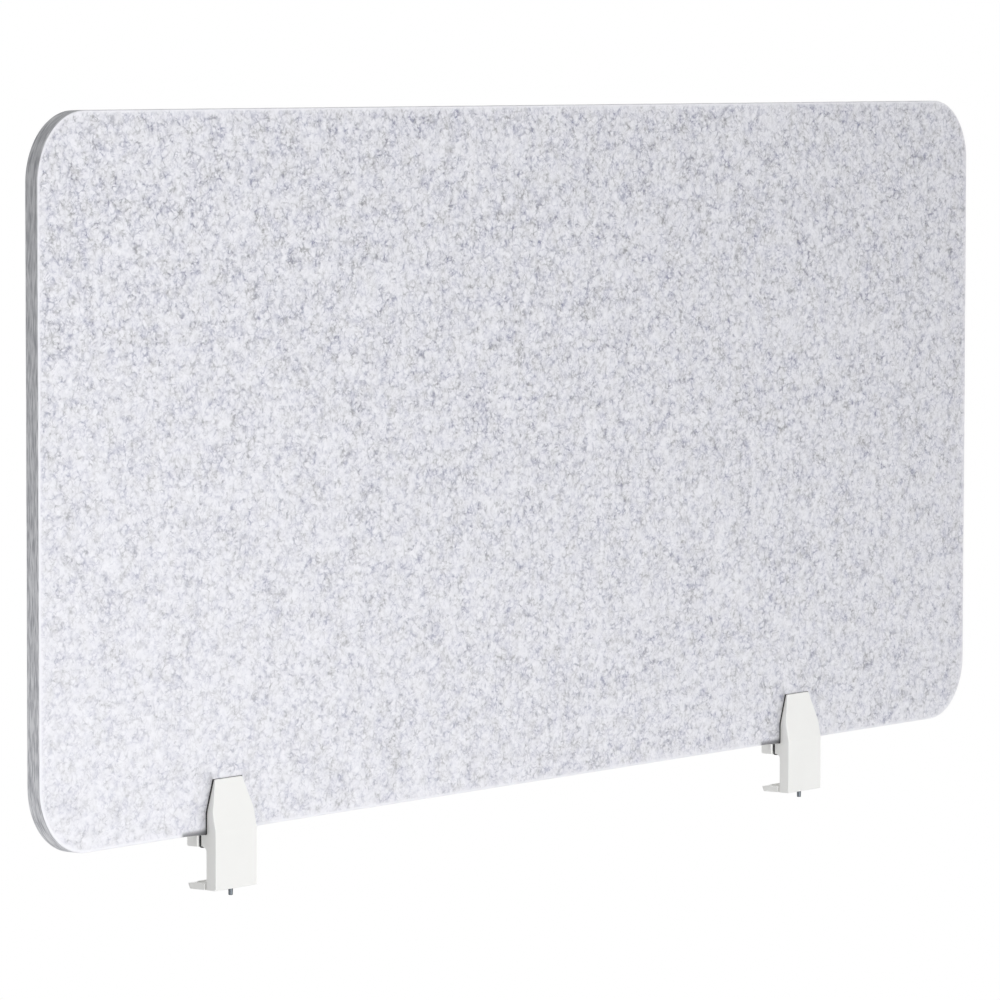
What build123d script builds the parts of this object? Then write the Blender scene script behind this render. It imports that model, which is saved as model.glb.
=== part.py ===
from build123d import *
import os

# Acoustic desk screen: a felt board held at its lower edge by two clamps that grip a desk top.
# +X runs along the board, -Y is the screen's front, +Y is the desk's side, +Z is up.
# The origin is at the desk's edge: Y = 0 touches the edge of the desk top, and Z = 0 is its upper surface.

# Board
panel_width = 1200.0
panel_height = 520.0
panel_thickness = 12.0
panel_corner_radius = 50.0
panel_edge_radius = 1.0

# Places of the clamps along the board
left_clamp_x = -394.0
right_clamp_x = 344.5

# Outline of a clamp seen from the front; rises count from the board's lower edge
clamp_width = 47.0
clamp_top_width = 31.0
seat_height = 10.5
plate_rise = 38.5
shoulder_rise = 15.0
crease_rise = 1.5
body_drop = 30.5
shoulder_radius = 18.0
top_corner_radius = 1.4

# Casting of the front body
body_depth = 9.0
plate_tip_thickness = 1.2
ledge_length = 6.0
underside_gap = 0.4
crease_radius = 2.0
seat_fillet = 0.8
throat_fillet = 3.0
edge_radius = 0.7
side_edge_radius = 0.5

# Pocket behind each sloping plate
plate_wall = 1.6
pocket_rim = 2.6
pocket_rise = 3.0

# Rear plate
slit = 1.5
slit_chamfer = 1.2
rear_base_thickness = 5.2
foot_corner_radius = 1.5

# Rubber pads
grip_pad_thickness = 0.8
grip_pad_overhang = 0.9
grip_pad_top_overhang = 0.2
grip_pad_toe_margin = 0.8
grip_pad_bend_radius = 0.9
jaw_pad_leg = 1.4
jaw_pad_foot = 1.0
jaw_pad_reach = 3.0
jaw_pad_drop = 0.8
jaw_pad_inset = 0.3
jaw_pad_radius = 0.5
foot_pad_thickness = 1.0
foot_pad_inset = 3.0
foot_pad_margin = 1.2
pad_corner_radius = 1.5
pad_edge_radius = 0.3

# M4 grip screws across the slit
thread_radius = 2.0
thread_clearance = 0.05
thread_point = 0.5
through_clearance = 0.25
grip_screw_spacing = 27.0
grip_hole_wall = 2.0
grip_tip_clearance = 0.7
head_radius = 3.5
head_length = 4.0
head_clearance = 0.3
head_edge_radius = 0.3
head_key_size = 3.0
head_key_depth = 2.2

# Channel in the spine, which guides the lower jaw
channel_width = 15.0
channel_wall_share = 0.245
channel_lip_share = 0.245
slot_width = 9.0
slide_clearance = 0.15
jaw_travel = 13.0
travel_margin = 0.7

# Lower jaw
jaw_side_setback = 0.25
jaw_reach = 18.0
jaw_tip_slant = 1.6
arm_thickness = 4.8
arm_root_drop = 0.3
arm_tip_drop = 1.0
upright_depth = 1.9
upright_height = 6.7
upright_gap = 0.25
upright_side_setback = 1.4
slider_height = 12.5
jaw_plan_radius = 2.0
jaw_edge_radius = 0.5
jaw_pad_length = 9.0
jaw_pad_width = 36.0
jaw_pad_sink = 1.5
jaw_pad_proud = 0.3
jaw_pad_setback = 4.5

# Jaw screw with its collar and drive end, its clip and its nut
screw_setback_share = 0.38
collar_radius = 2.5
collar_length = 1.1
collar_recess = 0.5
collar_clearance = 0.12
drive_radius = 1.8
drive_length = 6.0
drive_chamfer = 0.45
drive_key_size = 2.0
drive_key_depth = 2.5
groove_radius = 1.6
groove_clearance = 0.05
clip_radius = 3.0
clip_thickness = 0.7
clip_mouth = 2.6
clip_gap = 0.1
nut_size = 7.0
nut_thickness = 2.2
nut_corner_radius = 0.5
nut_floor_height = 3.0
nut_clearance = 0.1
thread_past_nut = 1.4
chamber_depth = 4.5
chamber_clearance = 0.6

# One overrun serves every cut
overrun = 5.0

# Heights
seat_z = seat_height
top_z = seat_z + plate_rise
shoulder_z = seat_z + shoulder_rise
crease_z = seat_z + crease_rise
pocket_low_z = seat_z + pocket_rise
pad_top_z = top_z + grip_pad_top_overhang
ledge_top_z = seat_z - grip_pad_thickness
jaw_pad_top_z = ledge_top_z - jaw_pad_drop
bottom_z = -body_drop
grip_screw_z = (ledge_top_z + foot_pad_thickness) / 2
crown_z = bottom_z + arm_thickness
root_z = crown_z - arm_root_drop
tip_z = crown_z - arm_tip_drop
upright_z = bottom_z + upright_height
slider_top_z = bottom_z + slider_height
groove_low_z = slider_top_z + clip_gap
groove_top_z = groove_low_z + clip_thickness
channel_top_z = groove_top_z + jaw_travel + travel_margin
nut_top_z = nut_floor_height + nut_thickness
screw_top_z = nut_top_z + thread_past_nut
chamber_low_z = pocket_low_z - chamber_depth
collar_low_z = bottom_z + collar_recess
collar_top_z = collar_low_z + collar_length
drive_low_z = collar_low_z - drive_length

# Depths
front_y = -body_depth
front_seat_y = -grip_pad_thickness
front_tip_y = front_seat_y - plate_tip_thickness
rear_seat_y = panel_thickness + grip_pad_thickness
rear_tip_y = rear_seat_y + plate_tip_thickness
rear_y = rear_seat_y + rear_base_thickness
foot_y = ledge_length + slit
front_toe_y = ledge_length - grip_pad_toe_margin
rear_toe_y = foot_y + grip_pad_toe_margin
head_floor_y = rear_y - head_length - head_clearance
grip_hole_end_y = front_y + grip_hole_wall
grip_tip_y = grip_hole_end_y + grip_tip_clearance
channel_front_y = front_y + body_depth * channel_wall_share
channel_rear_y = front_y * channel_lip_share
screw_y = front_y * screw_setback_share


def side_plane(clamp_x):
    """Plane across the clamp: its local x is Y and its local y is Z."""
    return Plane.YZ.offset(clamp_x)


def front_plane(clamp_x, y):
    """Plane parallel to the board at depth y, with its normal along -Y: its local y is Z."""
    return Plane(origin=(clamp_x, y, 0), x_dir=(1, 0, 0), z_dir=(0, -1, 0))


def rear_plane(clamp_x, y, z):
    """Plane parallel to the board at depth y and height z, with its normal along +Y."""
    return Plane(origin=(clamp_x, y, z), x_dir=(1, 0, 0), z_dir=(0, 1, 0))


def level_plane(clamp_x, z):
    """Horizontal plane at height z, centred on the clamp."""
    return Plane(origin=(clamp_x, 0, z), x_dir=(1, 0, 0), z_dir=(0, 0, 1))


def span(width, low_y, high_y):
    """Rectangle seen from above: centred in X, from low_y to high_y."""
    with BuildSketch() as outline:
        with Locations((0, (low_y + high_y) / 2)):
            Rectangle(width, high_y - low_y)
    return outline.sketch


def rounded_span(width, low_y, high_y):
    """The same rectangle with the pads' corner radius."""
    with BuildSketch() as outline:
        with Locations((0, (low_y + high_y) / 2)):
            RectangleRounded(width, high_y - low_y, pad_corner_radius)
    return outline.sketch


def tapered_outline(inset, low_z):
    """A clamp's front outline: straight sides, rounded shoulders and a narrower top."""
    half = clamp_width / 2 - inset
    top_half = clamp_top_width / 2 - inset
    with BuildSketch() as outline:
        with BuildLine():
            FilletPolyline(
                (-half, low_z),
                (-half, shoulder_z),
                (-top_half, top_z - inset),
                (top_half, top_z - inset),
                (half, shoulder_z),
                (half, low_z),
                radius=[0, shoulder_radius, top_corner_radius, top_corner_radius, shoulder_radius, 0],
                close=True,
            )
        make_face()
    return outline.sketch


def jaw_pad_outline(reach_past):
    """Side outline of the upper jaw pad, an L; its recess runs past the ledge by reach_past."""
    leg_y = ledge_length - jaw_pad_leg
    toe_y = ledge_length - jaw_pad_reach
    end_y = ledge_length + reach_past
    corner = 0 if reach_past else jaw_pad_radius
    with BuildSketch() as outline:
        with BuildLine():
            FilletPolyline(
                (leg_y, jaw_pad_top_z),
                (leg_y, jaw_pad_foot),
                (toe_y, jaw_pad_foot),
                (toe_y, -reach_past),
                (end_y, -reach_past),
                (end_y, jaw_pad_top_z),
                radius=[0, 0, 0, 0, corner, 0],
                close=True,
            )
        make_face()
    return outline.sketch


def grip_pad_outline(plate_y, board_y, toe_y):
    """Side outline of a grip pad, an L: its leg is between plate and board, its toe is under the board."""
    with BuildSketch() as outline:
        with BuildLine():
            FilletPolyline(
                (plate_y, pad_top_z),
                (plate_y, ledge_top_z),
                (toe_y, ledge_top_z),
                (toe_y, seat_z),
                (board_y, seat_z),
                (board_y, pad_top_z),
                radius=[0, seat_fillet, 0, 0, grip_pad_bend_radius, 0],
                close=True,
            )
        make_face()
    return outline.sketch


def plate_pocket(clamp_x, seat_y, base_y, tip_y):
    """The hollow behind a sloping plate: it keeps one wall thickness from the slope."""
    wall = plate_wall if base_y < seat_y else -plate_wall
    meet_share = (seat_y - base_y - wall) / (tip_y - base_y)
    meet_z = crease_z + meet_share * (top_z - crease_z)
    with BuildPart() as pocket:
        with BuildSketch(side_plane(clamp_x)):
            with BuildLine():
                Polyline((seat_y, crease_z), (base_y + wall, crease_z), (seat_y, meet_z), close=True)
            make_face()
        extrude(amount=clamp_width / 2, both=True)
        with BuildSketch(front_plane(clamp_x, seat_y)):
            add(tapered_outline(pocket_rim, pocket_low_z))
        extrude(amount=body_depth, both=True, mode=Mode.INTERSECT)
    return pocket.part


def slope_edges(part, base_y, tip_y):
    """The edges that bound a plate's outer face at its sides."""
    tilt = (tip_y - base_y) / (top_z - crease_z)
    outward = 1 if base_y > tip_y else -1

    def on_outer_face(edge):
        rise = min(max(edge.center().Z - crease_z, 0), top_z - crease_z)
        return (edge.center().Y - base_y - rise * tilt) * outward > -edge_radius / 2

    return part.edges().filter_by(Axis.X, reverse=True).filter_by(on_outer_face)


def make_panel():
    """The felt board, standing on the clamps' seats."""
    with BuildPart() as panel:
        with BuildSketch(front_plane(0, panel_thickness)):
            with Locations((0, seat_z + panel_height / 2)):
                RectangleRounded(panel_width, panel_height, panel_corner_radius)
        extrude(amount=panel_thickness)
        fillet(panel.faces().filter_by(Axis.Y).edges(), panel_edge_radius)
    return panel


def make_front_body(clamp_x):
    """Casting with the tapered front plate, the hollow spine and the ledge under the board."""
    with BuildPart() as front_body:
        with BuildSketch(side_plane(clamp_x)):
            with BuildLine():
                FilletPolyline(
                    (front_y, bottom_z),
                    (front_y, crease_z),
                    (front_tip_y, top_z),
                    (front_seat_y, top_z),
                    (front_seat_y, ledge_top_z),
                    (ledge_length, ledge_top_z),
                    (ledge_length, underside_gap),
                    (0, underside_gap),
                    (0, bottom_z),
                    radius=[
                        edge_radius,
                        crease_radius,
                        edge_radius,
                        0,
                        seat_fillet,
                        edge_radius,
                        0,
                        throat_fillet,
                        edge_radius,
                    ],
                    close=True,
                )
            make_face()
        extrude(amount=clamp_width / 2, both=True)
        with BuildSketch(front_plane(clamp_x, 0)):
            add(tapered_outline(0, bottom_z))
        extrude(amount=body_depth, both=True, mode=Mode.INTERSECT)
        fillet(slope_edges(front_body, front_y, front_tip_y), side_edge_radius)
        add(plate_pocket(clamp_x, front_seat_y, front_y, front_tip_y), mode=Mode.SUBTRACT)

        # Channel for the jaw's slider, and its slot through the rear face
        with BuildSketch(level_plane(clamp_x, channel_top_z)):
            add(span(channel_width, channel_front_y, channel_rear_y))
            add(span(slot_width, channel_rear_y, overrun))
        extrude(amount=bottom_z - channel_top_z - overrun, mode=Mode.SUBTRACT)

        # Nut pocket, open at the ledge's end, and the way for the screw above and below it
        nut_room = nut_size / 2 + nut_clearance
        with BuildSketch(level_plane(clamp_x, nut_floor_height)):
            add(span(nut_room * 2, screw_y - nut_room, ledge_length + overrun))
        extrude(amount=nut_thickness + nut_clearance * 2, mode=Mode.SUBTRACT)
        with BuildSketch(level_plane(clamp_x, channel_top_z)):
            with Locations((0, screw_y)):
                Circle(thread_radius + through_clearance)
        extrude(amount=pocket_low_z - channel_top_z, mode=Mode.SUBTRACT)
        chamber_room = thread_radius + chamber_clearance
        with BuildSketch(level_plane(clamp_x, chamber_low_z)):
            add(span(chamber_room * 2, screw_y - chamber_room, front_seat_y))
        extrude(amount=chamber_depth, mode=Mode.SUBTRACT)

        # Recess for the upper jaw pad, and the threaded holes for the grip screws
        with BuildSketch(side_plane(clamp_x)):
            add(jaw_pad_outline(overrun))
        extrude(amount=clamp_width, both=True, mode=Mode.SUBTRACT)
        with Locations(rear_plane(clamp_x, ledge_length, grip_screw_z)):
            with GridLocations(grip_screw_spacing, 0, 2, 1):
                Hole(thread_radius + thread_clearance, depth=ledge_length - grip_hole_end_y)
    return front_body


def make_rear_plate(clamp_x):
    """Casting behind the board: a tapered plate that mirrors the front one, on a foot under the board."""
    with BuildPart() as rear_plate:
        with BuildSketch(side_plane(clamp_x)):
            with BuildLine():
                FilletPolyline(
                    (foot_y, underside_gap),
                    (foot_y, ledge_top_z),
                    (rear_seat_y, ledge_top_z),
                    (rear_seat_y, top_z),
                    (rear_tip_y, top_z),
                    (rear_y, crease_z),
                    (rear_y, underside_gap),
                    radius=[
                        edge_radius,
                        edge_radius,
                        seat_fillet,
                        0,
                        edge_radius,
                        crease_radius,
                        foot_corner_radius,
                    ],
                    close=True,
                )
            make_face()
        extrude(amount=clamp_width / 2, both=True)
        with BuildSketch(front_plane(clamp_x, rear_seat_y)):
            add(tapered_outline(0, underside_gap))
        extrude(amount=body_depth, both=True, mode=Mode.INTERSECT)
        fillet(slope_edges(rear_plate, rear_y, rear_tip_y), side_edge_radius)
        add(plate_pocket(clamp_x, rear_seat_y, rear_y, rear_tip_y), mode=Mode.SUBTRACT)
        with BuildSketch(level_plane(clamp_x, -overrun)):
            add(slit_corners())
        extrude(amount=ledge_top_z + overrun, mode=Mode.SUBTRACT)

        # Recess for the foot pad, and the recessed holes for the grip screws
        with BuildSketch(level_plane(clamp_x, foot_pad_thickness)):
            add(foot_pad_span())
        extrude(amount=-overrun, mode=Mode.SUBTRACT)
        with Locations(rear_plane(clamp_x, rear_y, grip_screw_z)):
            with GridLocations(grip_screw_spacing, 0, 2, 1):
                CounterBoreHole(
                    thread_radius + through_clearance,
                    head_radius + head_clearance,
                    head_length + head_clearance,
                )
    return rear_plate


def slit_corners():
    """Plan of the chamfers at both ends of the slit, cut from the foot's front edges."""
    near_x = clamp_width / 2 - slit_chamfer - overrun
    far_x = clamp_width / 2 + overrun
    with BuildSketch() as corners:
        with BuildLine():
            Polyline(
                (near_x, foot_y - overrun),
                (far_x, foot_y - overrun),
                (far_x, foot_y + slit_chamfer + overrun),
                close=True,
            )
        make_face()
        mirror(about=Plane.YZ)
    return corners.sketch


def foot_pad_span():
    """Plan of the pad under the rear plate's foot."""
    width = clamp_width - foot_pad_inset * 2
    return rounded_span(width, foot_y + foot_pad_margin, rear_y - foot_pad_margin)


def make_grip_pad(clamp_x, plate_y, board_y, toe_y):
    """Rubber sheet that lines a plate and the seat beside it, where they hold the board."""
    with BuildPart() as grip_pad:
        with BuildSketch(side_plane(clamp_x)):
            add(grip_pad_outline(plate_y, board_y, toe_y))
        extrude(amount=clamp_width, both=True)
        with BuildSketch(front_plane(clamp_x, board_y)):
            add(tapered_outline(-grip_pad_overhang, ledge_top_z))
        extrude(amount=body_depth, both=True, mode=Mode.INTERSECT)
    return grip_pad


def make_upper_jaw_pad(clamp_x):
    """Rubber strip hooked round the ledge's rear lower corner, with holes for the grip screws."""
    with BuildPart() as jaw_pad:
        with BuildSketch(side_plane(clamp_x)):
            add(jaw_pad_outline(0))
        extrude(amount=clamp_width / 2 - jaw_pad_inset, both=True)
        with Locations(rear_plane(clamp_x, ledge_length, grip_screw_z)):
            with GridLocations(grip_screw_spacing, 0, 2, 1):
                Hole(thread_radius + through_clearance, depth=jaw_pad_leg)
    return jaw_pad


def make_rear_foot_pad(clamp_x):
    """Rubber pad set into the underside of the rear plate's foot."""
    with BuildPart() as foot_pad:
        with BuildSketch(level_plane(clamp_x, 0)):
            add(foot_pad_span())
        extrude(amount=foot_pad_thickness)
        fillet(foot_pad.faces().sort_by(Axis.Z)[0].edges(), pad_edge_radius)
    return foot_pad


def make_grip_screw(screw_x):
    """M4 socket head screw along Y: its head is recessed in the rear plate, its thread is in the ledge."""
    with BuildPart() as grip_screw:
        with BuildSketch(rear_plane(screw_x, head_floor_y, grip_screw_z)):
            Circle(head_radius)
        extrude(amount=head_length)
        fillet(grip_screw.faces().sort_by(Axis.Y)[-1].edges(), head_edge_radius)
        with BuildSketch(rear_plane(screw_x, head_floor_y, grip_screw_z)):
            Circle(thread_radius)
        extrude(amount=grip_tip_y - head_floor_y)
        chamfer(grip_screw.faces().sort_by(Axis.Y)[0].edges(), thread_point)
        with BuildSketch(rear_plane(screw_x, head_floor_y + head_length, grip_screw_z)):
            RegularPolygon(head_key_size / 2, 6, major_radius=False)
        extrude(amount=-head_key_depth, mode=Mode.SUBTRACT)
    return grip_screw


def make_clamp_nut(clamp_x):
    """Square nut in the ledge, held by its pocket."""
    with BuildPart() as nut:
        with BuildSketch(level_plane(clamp_x, nut_floor_height)):
            with Locations((0, screw_y)):
                RectangleRounded(nut_size, nut_size, nut_corner_radius)
                Circle(thread_radius + thread_clearance, mode=Mode.SUBTRACT)
        extrude(amount=nut_thickness)
    return nut


def make_lower_jaw(clamp_x):
    """Jaw under the desk top: a crowned arm and an upright, with a slider in the spine's channel."""
    slider_front_y = channel_front_y + slide_clearance
    slider_rear_y = channel_rear_y - slide_clearance
    neck_width = slot_width - slide_clearance * 2
    with BuildPart() as jaw:
        with BuildSketch(side_plane(clamp_x)):
            with BuildLine():
                Polyline(
                    (upright_depth, root_z),
                    (upright_depth, upright_z),
                    (upright_gap, upright_z),
                    (upright_gap, bottom_z),
                    (jaw_reach - jaw_tip_slant, bottom_z),
                    (jaw_reach, tip_z),
                )
                ThreePointArc((jaw_reach, tip_z), (jaw_reach / 2, crown_z), (upright_depth, root_z))
            make_face()
        extrude(amount=clamp_width / 2 - jaw_side_setback, both=True)
        tip_face = jaw.faces().sort_by(Axis.Y)[-1]
        fillet(tip_face.edges().filter_by(Axis.X, reverse=True), jaw_plan_radius)
        underside = jaw.faces().sort_by(Axis.Z)[0]
        fillet(underside.edges().filter_by(lambda edge: edge.center().Y > upright_depth), jaw_edge_radius)
        upright_width = clamp_width - (jaw_side_setback + upright_side_setback) * 2
        with BuildSketch(level_plane(clamp_x, bottom_z - overrun)):
            add(span(clamp_width + overrun, 0, upright_depth))
            add(span(upright_width, 0, upright_depth), mode=Mode.SUBTRACT)
        extrude(amount=upright_height + overrun * 2, mode=Mode.SUBTRACT)

        # Slider in the channel, and its neck through the slot
        with BuildSketch(level_plane(clamp_x, bottom_z)):
            add(span(channel_width - slide_clearance * 2, slider_front_y, slider_rear_y))
            add(span(neck_width, slider_rear_y, -slide_clearance))
        extrude(amount=slider_height)
        with BuildSketch(level_plane(clamp_x, bottom_z)):
            add(span(neck_width, -slide_clearance, upright_depth))
        extrude(amount=upright_height)

        # Bore for the screw with the recess for its collar, and the recess for the pad
        with Locations(Plane(origin=(clamp_x, screw_y, bottom_z), x_dir=(1, 0, 0), z_dir=(0, 0, -1))):
            CounterBoreHole(
                thread_radius + thread_clearance,
                collar_radius + collar_clearance,
                collar_top_z + clip_gap - bottom_z,
            )
        with BuildSketch(level_plane(clamp_x, crown_z - jaw_pad_sink)):
            add(lower_pad_span())
        extrude(amount=jaw_pad_sink + overrun, mode=Mode.SUBTRACT)
    return jaw


def lower_pad_span():
    """Plan of the pad on the lower jaw's arm."""
    return rounded_span(jaw_pad_width, jaw_pad_setback, jaw_pad_setback + jaw_pad_length)


def make_lower_jaw_pad(clamp_x):
    """Rubber pad set into the arm, which bears on the underside of the desk top."""
    with BuildPart() as jaw_pad:
        with BuildSketch(level_plane(clamp_x, crown_z - jaw_pad_sink)):
            add(lower_pad_span())
        extrude(amount=jaw_pad_sink + jaw_pad_proud)
        fillet(jaw_pad.faces().sort_by(Axis.Z)[-1].edges(), pad_edge_radius)
    return jaw_pad


def make_jaw_screw(clamp_x):
    """Screw that lifts the jaw: thread in the nut, collar under the slider, drive end below the body."""
    with BuildPart() as jaw_screw:
        with BuildSketch(front_plane(clamp_x, screw_y)):
            with BuildLine():
                Polyline(
                    (0, drive_low_z),
                    (drive_radius - drive_chamfer, drive_low_z),
                    (drive_radius, drive_low_z + drive_chamfer),
                    (drive_radius, collar_low_z),
                    (collar_radius, collar_low_z),
                    (collar_radius, collar_top_z),
                    (thread_radius, collar_top_z),
                    (thread_radius, groove_low_z),
                    (groove_radius, groove_low_z),
                    (groove_radius, groove_top_z),
                    (thread_radius, groove_top_z),
                    (thread_radius, screw_top_z - thread_point),
                    (thread_radius - thread_point, screw_top_z),
                    (0, screw_top_z),
                    close=True,
                )
            make_face()
        revolve(axis=Axis((clamp_x, screw_y, 0), (0, 0, 1)))
        with BuildSketch(Plane(origin=(clamp_x, screw_y, drive_low_z))):
            RegularPolygon(drive_key_size / 2, 6, major_radius=False)
        extrude(amount=drive_key_depth, mode=Mode.SUBTRACT)
    return jaw_screw


def make_jaw_screw_clip(clamp_x):
    """Open ring in the screw's groove, on top of the slider, with its mouth to the rear."""
    with BuildPart() as clip:
        with BuildSketch(Plane(origin=(clamp_x, screw_y, groove_low_z))):
            Circle(clip_radius)
            Circle(groove_radius + groove_clearance, mode=Mode.SUBTRACT)
            with Locations((0, clip_radius / 2)):
                Rectangle(clip_mouth, clip_radius, mode=Mode.SUBTRACT)
        extrude(amount=clip_thickness)
    return clip


def keep(part_builder, name):
    """Labels a finished piece and writes it under its name."""
    part_builder.part.label = name
    export_step(part_builder.part, f"parts/{name}.step")


os.makedirs("parts", exist_ok=True)
keep(make_panel(), "acoustic_panel")
for side, clamp_x, outward in (("left", left_clamp_x, -1), ("right", right_clamp_x, 1)):
    outer_screw_x = clamp_x + outward * grip_screw_spacing / 2
    inner_screw_x = clamp_x - outward * grip_screw_spacing / 2
    keep(make_front_body(clamp_x), f"{side}_front_body")
    keep(make_grip_pad(clamp_x, front_seat_y, 0, front_toe_y), f"{side}_front_grip_pad")
    keep(make_upper_jaw_pad(clamp_x), f"{side}_upper_jaw_pad")
    keep(make_clamp_nut(clamp_x), f"{side}_clamp_nut")
    keep(make_rear_plate(clamp_x), f"{side}_rear_plate")
    keep(make_grip_pad(clamp_x, rear_seat_y, panel_thickness, rear_toe_y), f"{side}_rear_grip_pad")
    keep(make_rear_foot_pad(clamp_x), f"{side}_rear_foot_pad")
    keep(make_grip_screw(outer_screw_x), f"{side}_outer_grip_screw")
    keep(make_grip_screw(inner_screw_x), f"{side}_inner_grip_screw")
    keep(make_lower_jaw(clamp_x), f"{side}_lower_jaw")
    keep(make_lower_jaw_pad(clamp_x), f"{side}_lower_jaw_pad")
    keep(make_jaw_screw(clamp_x), f"{side}_jaw_screw")
    keep(make_jaw_screw_clip(clamp_x), f"{side}_jaw_screw_clip")
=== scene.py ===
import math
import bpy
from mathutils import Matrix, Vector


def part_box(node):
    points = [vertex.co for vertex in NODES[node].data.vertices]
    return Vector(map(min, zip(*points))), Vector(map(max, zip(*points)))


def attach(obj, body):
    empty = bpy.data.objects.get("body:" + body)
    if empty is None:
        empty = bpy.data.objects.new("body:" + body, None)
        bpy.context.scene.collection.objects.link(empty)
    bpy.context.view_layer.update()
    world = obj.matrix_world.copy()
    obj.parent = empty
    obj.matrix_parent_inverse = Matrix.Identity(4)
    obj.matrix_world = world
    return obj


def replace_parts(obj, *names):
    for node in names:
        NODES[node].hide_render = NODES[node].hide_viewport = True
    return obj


bl_info = {
    "name": "Felt desk screen",
    "version": (1, 0, 0),
    "blender": (4, 5, 0),
    "location": "View3D > Sidebar > Desk screen",
    "description": "Finishes a felt desk screen with two clamps and sets up a studio for it",
    "category": "Object",
}

import bmesh
import bpy
import numpy as np
from bpy.props import FloatProperty, FloatVectorProperty, PointerProperty
from mathutils import Matrix, Vector

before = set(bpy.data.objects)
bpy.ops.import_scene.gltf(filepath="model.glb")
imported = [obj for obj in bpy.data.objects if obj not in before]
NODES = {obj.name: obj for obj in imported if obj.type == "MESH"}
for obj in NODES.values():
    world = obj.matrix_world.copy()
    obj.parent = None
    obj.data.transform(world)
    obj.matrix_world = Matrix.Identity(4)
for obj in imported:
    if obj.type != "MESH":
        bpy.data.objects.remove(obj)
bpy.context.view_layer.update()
SIDES = ("left", "right")
MM = 0.001
MERGE_DISTANCE = 2e-6
SHORTEST_EDGE = 1e-7
# A mix node for colours takes its colours at the inputs 6 and 7 and gives its result at the output 2
COLOUR_MIX = {"output": 2, "data_type": "RGBA"}
SMOOTH = {"interpolation_type": "SMOOTHSTEP"}
BOARD_LOW, BOARD_HIGH = (np.array(corner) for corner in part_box("acoustic_panel"))


# Helpers for colours, nodes and meshes


def from_hex(text):
    """An sRGB hex colour as linear values: each channel c becomes ((c + 0.055) / 1.055) to the power 2.4."""
    channels = [int(text[i : i + 2], 16) / 255 for i in (1, 3, 5)]
    return tuple(c / 12.92 if c <= 0.04045 else ((c + 0.055) / 1.055) ** 2.4 for c in channels)


def add_node(tree, kind, inputs=None, output=0, **settings):
    """Adds a shader node, sets its own settings and its inputs' values or links, and gives one output."""
    node = tree.nodes.new(f"ShaderNode{kind}")
    for name, value in settings.items():
        setattr(node, name, value)
    for name, value in (inputs or {}).items():
        socket = node.inputs[name]
        if isinstance(value, bpy.types.NodeSocket):
            tree.links.new(value, socket)
        elif socket.type == "RGBA":
            socket.default_value = (*value[:3], 1)
        else:
            socket.default_value = value
    return node.outputs[output]


def new_material(name, **constants):
    """A material with one Principled shader whose sockets get the constants: material, tree and shader."""
    material = bpy.data.materials.new(name)
    material.use_nodes = True
    tree = material.node_tree
    tree.nodes.clear()
    shader = tree.nodes.new("ShaderNodeBsdfPrincipled")
    for socket, value in constants.items():
        shader.inputs[socket.replace("_", " ")].default_value = value
    output = tree.nodes.new("ShaderNodeOutputMaterial")
    tree.links.new(shader.outputs["BSDF"], output.inputs["Surface"])
    return material, tree, shader


def per_mm(*sizes):
    """Mapping scale that turns metres into counts of the given sizes in millimetres along X, Y and Z."""
    return tuple(1 / (size * MM) for size in sizes)


def grid_faces(rows, columns, start=0, closed=False):
    """Quads of a grid that is stored row by row; closed joins the last column to the first."""
    row = np.arange(rows - 1)[:, None] * columns
    column = np.arange(columns if closed else columns - 1)[None, :]
    following = (column + 1) % columns
    corners = [row + column, row + following, row + columns + following, row + columns + column]
    return np.stack([c.ravel() for c in corners], axis=1) + start


def make_piece(name, points, faces, material, body, sharp_degrees=35.0, attributes=None):
    """A closed mesh from points and quads: doubles merged, faces turned outwards, only sharp edges hard."""
    mesh = bpy.data.meshes.new(name)
    mesh.from_pydata(points.tolist(), [], faces.tolist())
    for title, values in (attributes or {}).items():
        mesh.attributes.new(title, "FLOAT", "POINT").data.foreach_set("value", values.astype(np.float32))
    shape = bmesh.new()
    shape.from_mesh(mesh)
    bmesh.ops.remove_doubles(shape, verts=shape.verts, dist=MERGE_DISTANCE)
    bmesh.ops.dissolve_degenerate(shape, edges=shape.edges, dist=SHORTEST_EDGE)
    bmesh.ops.recalc_face_normals(shape, faces=shape.faces)
    shape.to_mesh(mesh)
    shape.free()
    mesh.shade_smooth()
    mesh.set_sharp_from_angle(angle=math.radians(sharp_degrees))
    mesh.materials.append(material)
    piece = bpy.data.objects.new(name, mesh)
    bpy.context.scene.collection.objects.link(piece)
    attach(piece, body)
    return piece


def finish_nodes(names, material):
    """Gives CAD nodes one finish through their objects' material slots."""
    for name in names:
        node = NODES[name]
        if not node.material_slots:
            node.data.materials.append(None)
        for slot in node.material_slots:
            slot.link = "OBJECT"
            slot.material = material


# Felt board


def spaced_lines(low, high, step, dense_spans=(), dense_step=None):
    """Rising positions from low to high, a step apart, or a dense step inside the dense spans."""
    lines = [np.linspace(low, high, int(round((high - low) / step)) + 1)]
    for start, end in dense_spans:
        lines[0] = lines[0][(lines[0] < start) | (lines[0] > end)]
        lines.append(np.linspace(start, end, int(round((end - start) / dense_step)) + 1))
    return np.unique(np.round(np.concatenate(lines), 7))


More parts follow.
